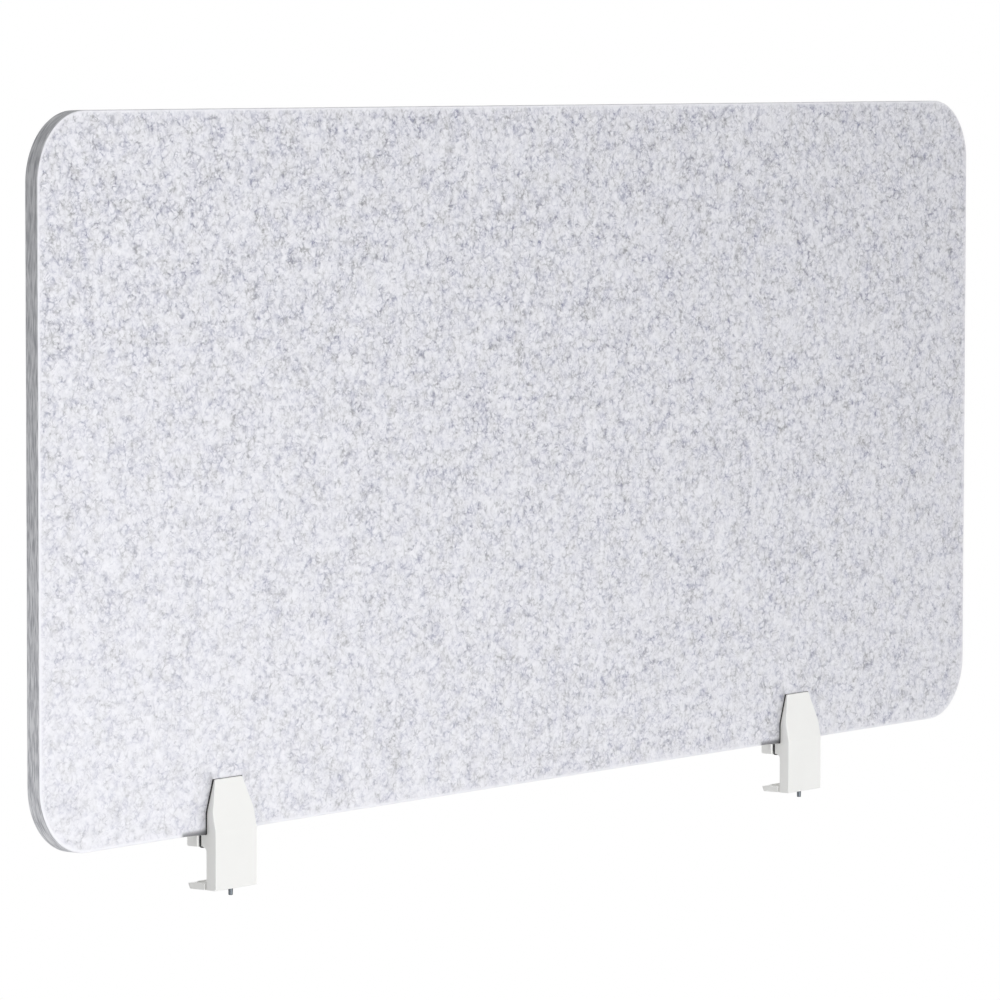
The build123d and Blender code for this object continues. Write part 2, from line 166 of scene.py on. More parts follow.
def board_path(corner, x_lines, z_lines, arc_steps):
    """The board's outline as centres and outward directions.

    A point inset by d lies at centre + direction * (corner - d).
    """
    left, right = x_lines[0], x_lines[-1]
    low, high = z_lines[0], z_lines[-1]
    turn = np.linspace(0, math.pi / 2, arc_steps + 1)[1:-1]
    parts = []
    for run_x, run_z, start_angle in (
        (x_lines, np.full_like(x_lines, low), -math.pi / 2),
        (np.full_like(z_lines, right), z_lines, 0.0),
        (x_lines[::-1], np.full_like(x_lines, high), math.pi / 2),
        (np.full_like(z_lines, left), z_lines[::-1], math.pi),
    ):
        angles = np.concatenate([np.full_like(run_x, start_angle), start_angle + turn])
        centre_x = np.concatenate([run_x, np.full_like(turn, run_x[-1])])
        centre_z = np.concatenate([run_z, np.full_like(turn, run_z[-1])])
        parts.append(np.stack([centre_x, centre_z, np.cos(angles), np.sin(angles)]))
    return np.concatenate(parts, axis=1)


def edge_profile(reach, thickness, count, settings):
    """Cross-section from the front face round the cut edge to the rear face.

    Its rows are inset, depth, share of cut edge and share of painted rim highlight. It starts at the inset
    reach, and a face's lines, count of them, get closer towards the edge:
    rounding + (reach - rounding) * share^2.
    """
    rounding, rounding_steps, side_steps = settings.edge_rounding, 7, 8
    rings = rounding + (reach - rounding) * np.linspace(1, 0, count) ** 2
    turn = np.linspace(0, math.pi / 2, rounding_steps + 1)[1:]
    side = np.linspace(rounding, thickness - rounding, side_steps + 1)[1:-1]
    inset = np.concatenate([rings, rounding * (1 - np.sin(turn)), np.zeros_like(side)])
    depth = np.concatenate([np.zeros_like(rings), rounding * (1 - np.cos(turn)), side])
    cut = np.concatenate([np.zeros_like(rings), np.clip(turn / math.pi * 4 - 1, 0, 1), np.ones_like(side)])
    # Painted highlight along the rim, fading inwards from the rounding
    rim_highlight = np.exp((rounding - np.maximum(inset, rounding)) / settings.rim_highlight_width)
    front = np.stack([inset, depth, cut, rim_highlight])
    half = len(rings) + len(turn)
    rear = front[:, :half][:, ::-1] * np.array([[1], [-1], [1], [1]]) + np.array([[0], [thickness], [0], [0]])
    return np.concatenate([front, rear], axis=1)


def build_felt_board(material, settings):
    """The board as one closed surface: rings that follow its outline, front to rear, and two flat middles.

    The faces wave as waviness * (sin(31 x + 17 z) + sin(13 x - 41 z + 1) + sin(67 z + 7 x)) / 3, but not in
    the strip where the clamps slide. The cut edge is rough as cut_roughness * (sin(0.83 n + 2600 depth) +
    sin(1.91 n - 4100 depth + 2)) / 2 at the outline's point n, but not along the lower border.
    """
    corner, arc_steps, face_lines = settings.corner_radius, 20, 30
    thickness = BOARD_HIGH[1] - BOARD_LOW[1]
    inner_low, inner_high = BOARD_LOW + corner, BOARD_HIGH - corner
    x_lines = spaced_lines(inner_low[0], inner_high[0], settings.grid_step)
    z_lines = spaced_lines(inner_low[2], inner_high[2], settings.grid_step)
    centre_x, centre_z, out_x, out_z = board_path(corner, x_lines, z_lines, arc_steps)
    inset, depth, cut, rim_highlight = edge_profile(corner, thickness, face_lines, settings)

    reach_out = (corner - inset)[:, None]
    along = np.arange(centre_x.size)[None, :]
    rough = np.sin(along * 0.83 + depth[:, None] * 2600) + np.sin(along * 1.91 - depth[:, None] * 4100 + 2)
    reach_out = reach_out + cut[:, None] * settings.cut_roughness * rough / 2 * np.clip(1 + out_z, 0, 1)
    ring_x = centre_x + out_x * reach_out
    ring_z = centre_z + out_z * reach_out
    ring_y = np.broadcast_to(BOARD_LOW[1] + depth[:, None], ring_x.shape)
    ring_shares = [np.broadcast_to(share[:, None], ring_x.shape).ravel() for share in (cut, rim_highlight)]
    points = [np.stack([ring_x.ravel(), ring_y.ravel(), ring_z.ravel()], axis=1)]
    shares = [np.stack(ring_shares)]
    faces = [grid_faces(*ring_x.shape, closed=True)]
    flat_x, flat_z = np.meshgrid(x_lines, z_lines)
    for y in (BOARD_LOW[1], BOARD_HIGH[1]):
        start = sum(len(p) for p in points)
        points.append(np.stack([flat_x.ravel(), np.full(flat_x.size, y), flat_z.ravel()], axis=1))
        shares.append(np.zeros((2, flat_x.size)))
        faces.append(grid_faces(*flat_x.shape, start=start))
    points = np.concatenate(points)
    x, _, z = points.T
    bend = np.sin(x * 31 + z * 17) + np.sin(x * 13 - z * 41 + 1.0) + np.sin(z * 67 + x * 7)
    slide_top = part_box("left_front_grip_pad")[1].z + settings.skin_reach
    points[:, 1] += settings.waviness * bend / 3 * np.clip((z - slide_top) / settings.corner_radius, 0, 1)
    cut_edge, rim_highlight = np.concatenate(shares, axis=1)
    return make_piece(
        "felt_board",
        points,
        np.concatenate(faces),
        material,
        "board",
        attributes={"cut_edge": cut_edge, "rim_highlight": rim_highlight},
    )


def painted_clamp_shadow(on_left, sideways, outside, rise, height, settings):
    """Share of brightness that the clamp's painted shadow takes off the felt: along the pad's flank and the
    lower border.

    It takes the distances beside and outside the pad, the rise along the pad and the height above the border.
    """
    corner_reach, border_line = 10 * MM, 0.8 * MM
    end_margin, end_fade = 1.5 * MM, 2.5 * MM
    top_loss, corner_rise, corner_gain = 0.35, 0.6, 0.2
    # Painted shadow: full on the pad's left, and only a small share of it on the pad's right
    side_share = np.where(on_left, 1.0, settings.right_shadow_share)
    flank = settings.flank_painted_shadow * (1 - top_loss * rise) * np.exp(-outside / settings.flank_shadow_reach)
    flank = flank * sideways / np.maximum(outside, 0.1 * MM)
    near = np.exp(-sideways / corner_reach)
    up = np.clip((height - border_line) / (settings.border_shadow_reach * (1 + corner_rise * near)), 0, 1)
    border = settings.border_painted_shadow * (1 + corner_gain * near) * (1 - up * up * (3 - 2 * up))
    border = border * np.clip((settings.skin_reach - end_margin - sideways) / end_fade, 0, 1)
    return 1 - (1 - side_share * flank) * (1 - side_share * border)


def build_pressed_felt(side, material, settings):
    """The felt that a clamp squeezes: a skin round the board's lower border, which goes along with the clamp.

    Its outer side follows the board's cross-section. At the distance d outside the pad's outline it stands
    off by film + bulge * sqrt(1 - (1 - d / groove_radius)^2) * (1 - d / skin_reach)^2, less towards the pad's
    top and not on the cut edge. On the pad it dips inside the board. Its inner side is inside the board.
    """
    low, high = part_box(f"{side}_front_grip_pad")
    middle, flank = (low.x + high.x) / 2, (high.x - low.x) / 2
    thickness = BOARD_HIGH[1] - BOARD_LOW[1]
    half_length = flank + settings.skin_reach
    height_reach, face_lines = high.z - BOARD_LOW[2] + settings.skin_reach, 60
    inset, depth, cut, rim_highlight = edge_profile(height_reach, thickness, face_lines, settings)
    out_y, out_z = np.gradient(BOARD_LOW[2] + inset), -np.gradient(depth)
    length = np.hypot(out_y, out_z)
    out_y, out_z = out_y / length, out_z / length
    step, dense_reach = settings.skin_step, 8 * MM
    bands = [(edge - dense_reach, edge + dense_reach) for edge in (middle - flank, middle + flank)]
    x_lines = spaced_lines(middle - half_length, middle + half_length, step, bands, step / 3)
    x, z = np.meshgrid(x_lines, BOARD_LOW[2] + inset, indexing="ij")

    shoulder_share, dip, top_loss, share_above = 0.4, 0.15 * MM, 0.5, 0.2
    shoulder_z = low.z + (high.z - low.z) * shoulder_share
    taper = np.clip((z - shoulder_z) / (high.z - shoulder_z), 0, 1)
    beside = np.abs(x - middle) - flank * (1 - settings.pad_taper * taper)
    sideways, upwards = np.maximum(beside, 0), np.maximum(z - high.z, 0)
    outside = np.hypot(sideways, upwards)
    inside = np.maximum(-np.maximum(beside, z - high.z), 0)
    rise = np.clip((z - low.z) / (high.z - low.z), 0, 1)
    shoulder = np.sqrt(1 - (1 - np.clip(outside / settings.groove_radius, 0, 1)) ** 2)
    fade = np.clip(1 - outside / settings.skin_reach, 0, 1) ** 2
    strength = share_above + (1 - share_above) * sideways / np.maximum(outside, MM)
    bulge = settings.bulge * shoulder * fade * ((1 - top_loss * rise) * strength)
    proud = settings.skin_film + bulge * np.abs(out_y) - dip * np.clip(inside / MM, 0, 1)
    outer = np.stack([x, BOARD_LOW[1] + depth + out_y * proud, z + out_z * proud], axis=-1)
    sunk = np.full_like(x, settings.skin_depth)
    inner = np.stack([x, BOARD_LOW[1] + depth - out_y * sunk, z - out_z * sunk], axis=-1)
    # The clamp's painted shadow on the felt, carried by this skin so that it goes along with the clamp
    painted_shadow = painted_clamp_shadow(x < middle, sideways, outside, rise, z - BOARD_LOW[2], settings)

    ring = np.concatenate([outer, inner[:, ::-1]], axis=1)
    ends = np.concatenate([inner, inner[:, ::-1]], axis=1)
    rows = np.concatenate([ends[:1], ring, ends[-1:]])
    count, columns = rows.shape[:2]
    around = np.concatenate([np.arange(inset.size), np.arange(inset.size)[::-1]])
    shares = np.concatenate([painted_shadow[:1], painted_shadow, painted_shadow[-1:]])[:, around]
    attributes = {
        "cut_edge": np.tile(cut[around], count),
        "rim_highlight": np.tile(rim_highlight[around], count),
        "painted_shadow": shares.ravel(),
    }
    return make_piece(
        f"{side}_pressed_felt",
        rows.reshape(-1, 3),
        grid_faces(count, columns, closed=True),
        material,
        f"{side}_clamp",
        attributes=attributes,
    )


def lay_bundles(tree, grey, off_line, width, weight, coords, patch, clouds):
    """Adds lines to a share of grey: weight where off_line is near 0, fading out at the width.

    The lines are kept where a noise of the patch's size, with a part of the clouds, is high.
    """
    line = add_node(
        tree,
        "MapRange",
        {"Value": off_line, "From Min": width * 0.2, "From Max": width, "To Min": weight, "To Max": 0.0},
        **SMOOTH,
    )
    patches = add_node(tree, "TexNoise", {"Vector": coords, "Scale": 1 / patch, "Detail": 2})
    spread = add_node(tree, "Math", {0: clouds, 1: 0.2, 2: patches}, operation="MULTIPLY_ADD")
    kept = add_node(tree, "MapRange", {"Value": spread, "From Min": 0.48, "From Max": 0.80}, **SMOOTH)
    laid = add_node(tree, "Math", {0: line, 1: kept, 2: grey}, operation="MULTIPLY_ADD")
    return add_node(tree, "Math", {0: laid, 1: 1.0}, operation="MINIMUM")


def pressed_pet_felt(settings):
    """PET felt, needle-punched from pale and grey fibres and hot-pressed to a board.

    The eye sees a matt, pale surface clouded by grey fibres: soft patches, specks, and short curled hairs.
    The cut edge shows the fibres end-on and in layers, so it is darker and streaked along the edge.
    """
    material, tree, shader = new_material(
        "pet_felt_needle_punched", Roughness=0.95, Sheen_Weight=0.12, Sheen_Roughness=0.6, IOR=1.45
    )
    shader.inputs["Specular IOR Level"].default_value = 0.2
    place = add_node(tree, "TexCoord", output="Object")
    # One unit of this vector is one millimetre, and a little more along X, the way the web was carded.
    # The real fibres are 0.03 mm thick and are drawn as bundles 1 to 2 mm wide, the finest that shows
    fibre = add_node(tree, "Mapping", {"Vector": place, "Scale": per_mm(1.2, 1, 1)})

    clouds = add_node(tree, "TexNoise", {"Vector": fibre, "Scale": 1 / 30, "Detail": 3, "Roughness": 0.6})
    tufts = add_node(tree, "TexNoise", {"Vector": fibre, "Scale": 1 / 4.6, "Detail": 2, "Distortion": 0.8})
    dense = add_node(tree, "Math", {0: clouds, 1: 0.2, 2: tufts}, operation="MULTIPLY_ADD")
    grey = add_node(
        tree, "MapRange", {"Value": dense, "From Min": 0.45, "From Max": 0.80, "To Min": 0.0, "To Max": 0.20}
    )
    # Curled bundles. Some lie in the valleys between tufts, near the borders of cells that a noise has bent;
    # the others follow the line where a bent noise crosses its middle value
    for size, width, bend, patch, seed, weight in (
        (7.2, 0.16, 7.5, 6.5, 11.0, 0.42),
        (5.0, 0.21, 5.0, 5.5, 47.0, 0.34),
        (3.4, 0.26, 3.0, 9.0, 83.0, 0.12),
    ):
        moved = add_node(tree, "VectorMath", {0: fibre, 1: (seed, seed, seed)}, operation="ADD")
        sway = add_node(tree, "TexNoise", {"Vector": moved, "Scale": 1.5 / size, "Detail": 2}, output=1)
        sway = add_node(tree, "VectorMath", {0: sway, 1: (0.5, 0.5, 0.5)}, operation="SUBTRACT")
        bent = add_node(
            tree, "VectorMath", {0: sway, 1: (bend, bend, bend), 2: moved}, operation="MULTIPLY_ADD"
        )
        border = add_node(tree, "TexVoronoi", {"Vector": bent, "Scale": 1 / size}, feature="DISTANCE_TO_EDGE")
        grey = lay_bundles(tree, grey, border, width, weight, moved, patch, clouds)
    for size, width, patch, seed, weight in ((8.0, 0.050, 5.5, 131.0, 0.44), (5.2, 0.058, 6.0, 167.0, 0.28)):
        moved = add_node(tree, "VectorMath", {0: fibre, 1: (seed, seed, seed)}, operation="ADD")
        curl = add_node(
            tree, "TexNoise", {"Vector": moved, "Scale": 1 / size, "Detail": 1, "Distortion": 1.2}
        )
        off_line = add_node(tree, "Math", {0: curl, 1: 0.5}, operation="SUBTRACT")
        off_line = add_node(tree, "Math", {0: off_line}, operation="ABSOLUTE")
        grey = lay_bundles(tree, grey, off_line, width, weight, moved, patch, clouds)

    # Painted light: the felt carries fewer grey fibres towards its lower left, so it is paler there
    axes = tree.nodes.new("ShaderNodeSeparateXYZ")
    tree.links.new(place, axes.inputs[0])
    leftward = add_node(tree, "MapRange", {"Value": axes.outputs[0], "From Min": -0.05, "From Max": -0.5})
    downward = add_node(tree, "MapRange", {"Value": axes.outputs[2], "From Min": 0.46, "From Max": 0.08})
    painted_light_gradient = add_node(tree, "Math", {0: leftward, 1: 0.27, 2: 0.14}, operation="MULTIPLY_ADD")
    painted_light_gradient = add_node(tree, "Math", {0: painted_light_gradient, 1: downward}, operation="MULTIPLY")
    grey_under_painted_light = add_node(tree, "Math", {0: 1.04, 1: painted_light_gradient}, operation="SUBTRACT")
    # Painted highlight: the rim along the cut edge gets fewer grey fibres, so it stays pale
    rim_highlight = add_node(tree, "Attribute", output="Fac", attribute_name="rim_highlight")
    grey_under_painted_light = add_node(tree, "Math", {0: rim_highlight, 1: -0.85, 2: grey_under_painted_light}, operation="MULTIPLY_ADD")
    grey = add_node(tree, "Math", {0: grey, 1: grey_under_painted_light}, operation="MULTIPLY")

    hue = add_node(tree, "TexNoise", {"Vector": fibre, "Scale": 1 / 13, "Detail": 3})
    hue = add_node(tree, "MapRange", {"Value": hue, "From Min": 0.38, "From Max": 0.62})
    grey_colour = add_node(
        tree, "Mix", {0: hue, 6: settings.grey_fibre, 7: settings.warm_fibre}, **COLOUR_MIX
    )
    face_colour = add_node(tree, "Mix", {0: grey, 6: settings.pale_fibre, 7: grey_colour}, **COLOUR_MIX)
    # Layers of the cut edge: noise drawn out along the board and kept thin through its thickness
    layered = add_node(tree, "Mapping", {"Vector": place, "Scale": per_mm(14, 0.9, 14)})
    layers = add_node(tree, "TexNoise", {"Vector": layered, "Scale": 1.0, "Detail": 3, "Roughness": 0.6})
    layer_share = add_node(tree, "MapRange", {"Value": layers, "From Min": 0.35, "From Max": 0.68}, **SMOOTH)
    cut_colour = add_node(
        tree, "Mix", {0: layer_share, 6: settings.cut_pale, 7: settings.cut_grey}, **COLOUR_MIX
    )
    cut_edge = add_node(tree, "Attribute", output="Fac", attribute_name="cut_edge")
    # Painted light and shade: the faces darken a little towards the upper right and the top, and the cut edge
    # pales towards the bottom
    face_painted_light = add_node(tree, "Math", {0: axes.outputs[0], 1: -0.09, 2: 1.05}, operation="MULTIPLY_ADD")
    face_painted_light = add_node(
        tree, "Math", {0: axes.outputs[2], 1: -0.165, 2: face_painted_light}, operation="MULTIPLY_ADD"
    )
    cut_painted_light = add_node(tree, "Math", {0: axes.outputs[2], 1: -1.0, 2: 1.42}, operation="MULTIPLY_ADD")
    tone = add_node(tree, "Mix", {0: cut_edge, 2: face_painted_light, 3: cut_painted_light})
    # Painted shadow of the clamps: the felt darkens beside a pad's flank and along the lower border beside it
    painted_shadow = add_node(tree, "Attribute", output="Fac", attribute_name="painted_shadow")
    unshadowed = add_node(tree, "Math", {0: 1.0, 1: painted_shadow}, operation="SUBTRACT")
    tone = add_node(tree, "Math", {0: tone, 1: unshadowed}, operation="MULTIPLY")
    colour = add_node(tree, "Mix", {0: cut_edge, 6: face_colour, 7: cut_colour}, **COLOUR_MIX)
    colour = add_node(tree, "VectorMath", {0: colour, 3: tone}, operation="SCALE")
    tree.links.new(colour, shader.inputs["Base Color"])

    fluff = add_node(tree, "TexNoise", {"Vector": fibre, "Scale": 1 / 1.6, "Detail": 2, "Distortion": 1.0})
    normal = add_node(tree, "Bump", {"Height": fluff, "Distance": 0.3 * MM, "Strength": 0.8})
    tree.links.new(normal, shader.inputs["Normal"])
    return material


# Clamp castings, pads and hardware


def powder_coat(settings):
    """Polyester powder coat on die-cast metal, sprayed and baked.

    The eye sees a warm white with a soft sheen, broken by the shallow ripple that flowing powder keeps.
    """
    material, tree, shader = new_material("polyester_powder_coat", IOR=1.5)
    place = add_node(tree, "TexCoord", output="Object")
    ripple_place = add_node(tree, "Mapping", {"Vector": place, "Scale": per_mm(1.6, 1.6, 1.6)})
    ripple = add_node(tree, "TexNoise", {"Vector": ripple_place, "Scale": 1.0, "Detail": 2})
    # Powder grains are 0.05 mm across and are drawn at 0.4 mm, the finest that shows
    grain_place = add_node(tree, "Mapping", {"Vector": place, "Scale": per_mm(0.4, 0.4, 0.4)})
    grains = add_node(tree, "TexNoise", {"Vector": grain_place, "Scale": 1.0, "Detail": 1})
    tone_place = add_node(tree, "Mapping", {"Vector": place, "Scale": per_mm(30, 30, 30)})
    tone = add_node(tree, "TexNoise", {"Vector": tone_place, "Scale": 1.0, "Detail": 3})
    colour = add_node(tree, "Mix", {0: tone, 6: settings.coat_colour, 7: settings.coat_shade}, **COLOUR_MIX)
    tree.links.new(colour, shader.inputs["Base Color"])
    rough = add_node(
        tree, "MapRange", {"Value": tone, "From Min": 0.3, "From Max": 0.7, "To Min": 0.38, "To Max": 0.5}
    )
    tree.links.new(rough, shader.inputs["Roughness"])
    height = add_node(tree, "Math", {0: grains, 1: 0.35, 2: ripple}, operation="MULTIPLY_ADD")
    normal = add_node(tree, "Bump", {"Height": height, "Distance": 0.015 * MM, "Strength": 0.5})
    tree.links.new(normal, shader.inputs["Normal"])
    return material


def moulded_rubber(name, plain, bloomed):
    """Rubber, moulded in sheets.

    The eye sees a matt colour with a fine grain and a bloom in patches.
    """
    material, tree, shader = new_material(name, Roughness=0.78, IOR=1.52)
    shader.inputs["Specular IOR Level"].default_value = 0.35
    place = add_node(tree, "TexCoord", output="Object")
    grain_place = add_node(tree, "Mapping", {"Vector": place, "Scale": per_mm(0.5, 0.5, 0.5)})
    grains = add_node(tree, "TexNoise", {"Vector": grain_place, "Scale": 1.0, "Detail": 2})
    bloom_place = add_node(tree, "Mapping", {"Vector": place, "Scale": per_mm(6, 6, 6)})
    bloom = add_node(tree, "TexNoise", {"Vector": bloom_place, "Scale": 1.0, "Detail": 4})
    bloom_share = add_node(
        tree, "MapRange", {"Value": bloom, "From Min": 0.45, "From Max": 0.75, "To Max": 0.6}
    )
    colour = add_node(tree, "Mix", {0: bloom_share, 6: plain, 7: bloomed}, **COLOUR_MIX)
    tree.links.new(colour, shader.inputs["Base Color"])
    normal = add_node(tree, "Bump", {"Height": grains, "Distance": 0.05 * MM, "Strength": 0.6})
    tree.links.new(normal, shader.inputs["Normal"])
    return material


def plated_steel(name, pale, dark, low_rough, high_rough):
    """Carbon steel, turned or stamped, then plated or blackened.

    The eye sees a metal with clouded tone, and fine turning marks that spread its highlights.
    """
    material, tree, shader = new_material(name, Metallic=1.0)
    place = add_node(tree, "TexCoord", output="Object")
    cloud_place = add_node(tree, "Mapping", {"Vector": place, "Scale": per_mm(2.5, 2.5, 2.5)})
    clouds = add_node(tree, "TexNoise", {"Vector": cloud_place, "Scale": 1.0, "Detail": 4})
    colour = add_node(tree, "Mix", {0: clouds, 6: pale, 7: dark}, **COLOUR_MIX)
    tree.links.new(colour, shader.inputs["Base Color"])
    rough = add_node(
        tree,
        "MapRange",
        {"Value": clouds, "From Min": 0.3, "From Max": 0.7, "To Min": low_rough, "To Max": high_rough},
    )
    tree.links.new(rough, shader.inputs["Roughness"])
    mark_place = add_node(tree, "Mapping", {"Vector": place, "Scale": per_mm(0.25, 0.25, 0.25)})
    marks = add_node(tree, "TexNoise", {"Vector": mark_place, "Scale": 1.0, "Detail": 2})
    normal = add_node(tree, "Bump", {"Height": marks, "Distance": 0.02 * MM, "Strength": 0.4})
    tree.links.new(normal, shader.inputs["Normal"])
    return material


def turned_surface(origin, axis, across, rows, columns, pitch=0.0):
    """Points and quads of a turned part with threads, knurls and a key socket.

    Each row gives height, radius, share of hexagon, thread depth and knurl depth. A point at angle a lies at
    height along the axis and at this radius: the row's radius, or for a hexagon radius / cos(a folded into
    60 degrees), less thread depth * |2 * fraction(height / pitch - a / turn) - 1| and less knurl depth *
    |sin(15 a)|.
    """
    height, radius, hexagon, thread, knurl = (column[:, None] for column in np.array(rows, float).T)
    angle = np.linspace(0, 2 * math.pi, columns, endpoint=False)[None, :]
    folded = np.mod(angle + math.pi / 6, math.pi / 3) - math.pi / 6
    rounded = radius * (1 - hexagon + hexagon / np.cos(folded))
    helix = np.mod(height / pitch - angle / (2 * math.pi), 1.0) if pitch else 0.0 * angle
    around = rounded - thread * np.abs(2 * helix - 1) - knurl * np.abs(np.sin(angle * 15))
    axis, across = np.array(axis, float), np.array(across, float)
    third = np.cross(axis, across)
    spin = np.cos(angle)[..., None] * across + np.sin(angle)[..., None] * third
    points = np.array(origin) + height[..., None] * axis + around[..., None] * spin
    return points.reshape(-1, 3), grid_faces(len(rows), columns, closed=True)


def threaded_run(start, end, radius, depth, pitch, lead):
    """Rows of a thread from start to end, eight to a turn; its depth fades out over the lead at both ends."""
    count = max(int(abs(end - start) / pitch * 8), 2)
    height = np.linspace(start, end, count + 1)
    fade = np.clip(np.minimum(np.abs(height - start), np.abs(end - height)) / lead, 0, 1)
    return [(h, radius, 0, depth * f, 0) for h, f in zip(height, fade)]


def build_grip_screw(side, place, material, settings):
    """Socket head screw across the slit, from the point of its thread to the bottom of its key socket."""
    low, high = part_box(f"{side}_{place}_grip_screw")
    middle_x, middle_z = (low.x + high.x) / 2, (low.z + high.z) / 2
    head_radius = (high.x - low.x) / 2
    length = high.y - low.y
    head_floor = length - settings.head_length
    radius, pitch, depth = settings.thread_radius, settings.pitch, settings.thread_depth
    key, soft = settings.grip_key / 2, 0.3 * MM
    tip, bevel, knurl = 0.5 * MM, 0.2 * MM, 0.12 * MM
    thread_start = tip + 0.1 * MM
    knurl_start = head_floor + 0.5 * MM
    mouth, socket_floor, socket_tip = 0.12 * MM, 2.2 * MM, 2.6 * MM
    rows = [(0, 0, 0, 0, 0), (0, radius - tip, 0, 0, 0), (tip, radius, 0, 0, 0)]
    rows += threaded_run(thread_start, head_floor - 0.5 * MM, radius, depth, pitch, pitch)
    rows += [
        (head_floor, radius, 0, 0, 0),
        (head_floor, head_radius - bevel, 0, 0, 0),
        (head_floor + bevel, head_radius, 0, 0, 0),
        (knurl_start, head_radius, 0, 0, knurl),
        (length - 3 * soft, head_radius, 0, 0, knurl),
        (length - 2 * soft, head_radius, 0, 0, 0),
        (length - soft, head_radius, 0, 0, 0),
        (length - soft * 0.3, head_radius - soft * 0.3, 0, 0, 0),
        (length, head_radius - soft, 0, 0, 0),
        (length, key * 1.22, 0, 0, 0),
        (length - mouth, key, 1, 0, 0),
        (length - socket_floor, key, 1, 0, 0),
        (length - socket_tip, 0, 0, 0, 0),
    ]
    points, faces = turned_surface((middle_x, low.y, middle_z), (0, 1, 0), (0, 0, 1), rows, 60, pitch)
    screw = make_piece(
        f"{side}_{place}_screw", points, faces, material, f"{side}_{place}_grip_screw"
    )
    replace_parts(screw, f"{side}_{place}_grip_screw")


def build_jaw_screw(side, material, settings):
    """Screw that lifts the jaw: tapered drive end with a key socket, collar, clip groove and thread."""
    low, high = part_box(f"{side}_jaw_screw")
    middle_x, middle_y = (low.x + high.x) / 2, (low.y + high.y) / 2
    top = high.z - low.z
    radius, pitch, depth = settings.thread_radius, settings.pitch, settings.thread_depth
    drive, key = settings.drive_radius, settings.jaw_key / 2
    collar_low, collar_high = settings.drive_length, settings.drive_length + settings.collar_length
    groove_low, groove_high = settings.groove_height, settings.groove_height + settings.groove_length
    collar_radius = (high.x - low.x) / 2
    bevel, tip = 0.1 * MM, 0.5 * MM
    socket_tip, socket_floor = 2.9 * MM, 2.5 * MM
    drive_tip_radius, drive_shoulder = drive - 0.2 * MM, 0.35 * MM
    rows = [
        (socket_tip, 0, 0, 0, 0),
        (socket_floor, key, 1, 0, 0),
        (bevel, key, 1, 0, 0),
        (0, key * 1.2, 0, 0, 0),
        (0, drive - 0.5 * MM, 0, 0, 0),
        (drive_shoulder, drive_tip_radius, 0, 0, 0),
        (collar_low, drive, 0, 0, 0),
        (collar_low, collar_radius - bevel, 0, 0, 0),
        (collar_low + bevel, collar_radius, 0, 0, 0),
        (collar_high - bevel, collar_radius, 0, 0, 0),
        (collar_high, collar_radius - bevel, 0, 0, 0),
        (collar_high, radius, 0, 0, 0),
        (groove_low, radius, 0, 0, 0),
        (groove_low, settings.groove_radius, 0, 0, 0),
        (groove_high, settings.groove_radius, 0, 0, 0),
        (groove_high, radius, 0, 0, 0),
    ]
    rows += threaded_run(groove_high + bevel, top - tip - 0.05 * MM, radius, depth, pitch, pitch)
    rows += [(top - tip, radius, 0, 0, 0), (top, radius - tip, 0, 0, 0), (top, 0, 0, 0, 0)]
    points, faces = turned_surface((middle_x, middle_y, low.z), (0, 0, 1), (1, 0, 0), rows, 36, pitch)
    screw = make_piece(f"{side}_lifting_screw", points, faces, material, f"{side}_jaw_screw")
    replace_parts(screw, f"{side}_jaw_screw")


# Studio: each lamp's place, the point that it faces, and the side of its square

FRONT_LAMP = ((-3.3, -7.6, 0.2), (0, 0, 0.2), 2.4)
TOP_LAMP = ((-0.1, -0.2, 3.2), (0, 0, 0), 1.4)
REAR_LAMP = ((1.0, 2.8, 1.2), (0, 0, 0.2), 1.4)
SENSOR_WIDTH = 36.0


def seen_rays(tree):
    """One for the rays of the camera, of gloss and of clear surfaces, and zero for those that only light."""
    rays = tree.nodes.new("ShaderNodeLightPath").outputs
    seen = add_node(tree, "Math", {0: rays["Is Camera Ray"], 1: rays["Is Glossy Ray"]}, operation="MAXIMUM")
    return add_node(tree, "Math", {0: seen, 1: rays["Is Transmission Ray"]}, operation="MAXIMUM")


def studio_floor(settings):
    """A wide pale floor at desk height below the screen.

    Near the middle it is matt paint that keeps the shadow. Away from there it turns to plain white where the
    camera, a gloss or a clear surface sees it: the share is a smooth step of the distance from the middle.
    From below it is clear, so that the screen's underside can be looked at.
    """
    mesh = bpy.data.meshes.new("studio_floor")
    half, z = settings.floor_size / 2, -settings.floor_drop
    across = np.linspace(-half, half, 3)
    x, y = np.meshgrid(across, across)
    points = np.stack([x.ravel(), y.ravel(), np.full(x.size, z)], axis=1)
    mesh.from_pydata(points.tolist(), [], grid_faces(3, 3).tolist())
    floor = bpy.data.objects.new("studio_floor", mesh)
    bpy.context.scene.collection.objects.link(floor)

    material, tree, shader = new_material("matt_floor_paint", Roughness=0.9)
    shader.inputs["Base Color"].default_value = (*settings.floor_colour, 1)
    place = add_node(tree, "TexCoord", output="Object")
    distance = add_node(tree, "VectorMath", {0: place}, output=1, operation="LENGTH")
    far = add_node(
        tree,
        "MapRange",
        {"Value": distance, "From Min": settings.shadow_reach, "From Max": settings.shadow_reach * 2},
        **SMOOTH,
    )
    white_share = add_node(tree, "Math", {0: far, 1: seen_rays(tree)}, operation="MULTIPLY")
    white = add_node(tree, "Emission", {"Color": (1, 1, 1), "Strength": 1.0})
    upper = add_node(tree, "MixShader", {0: white_share, 1: shader.outputs["BSDF"], 2: white})
    clear = add_node(tree, "BsdfTransparent")
    below = add_node(tree, "NewGeometry", output="Backfacing")
    both = add_node(tree, "MixShader", {0: below, 1: upper, 2: clear})
    tree.links.new(both, tree.nodes["Material Output"].inputs["Surface"])
    mesh.materials.append(material)


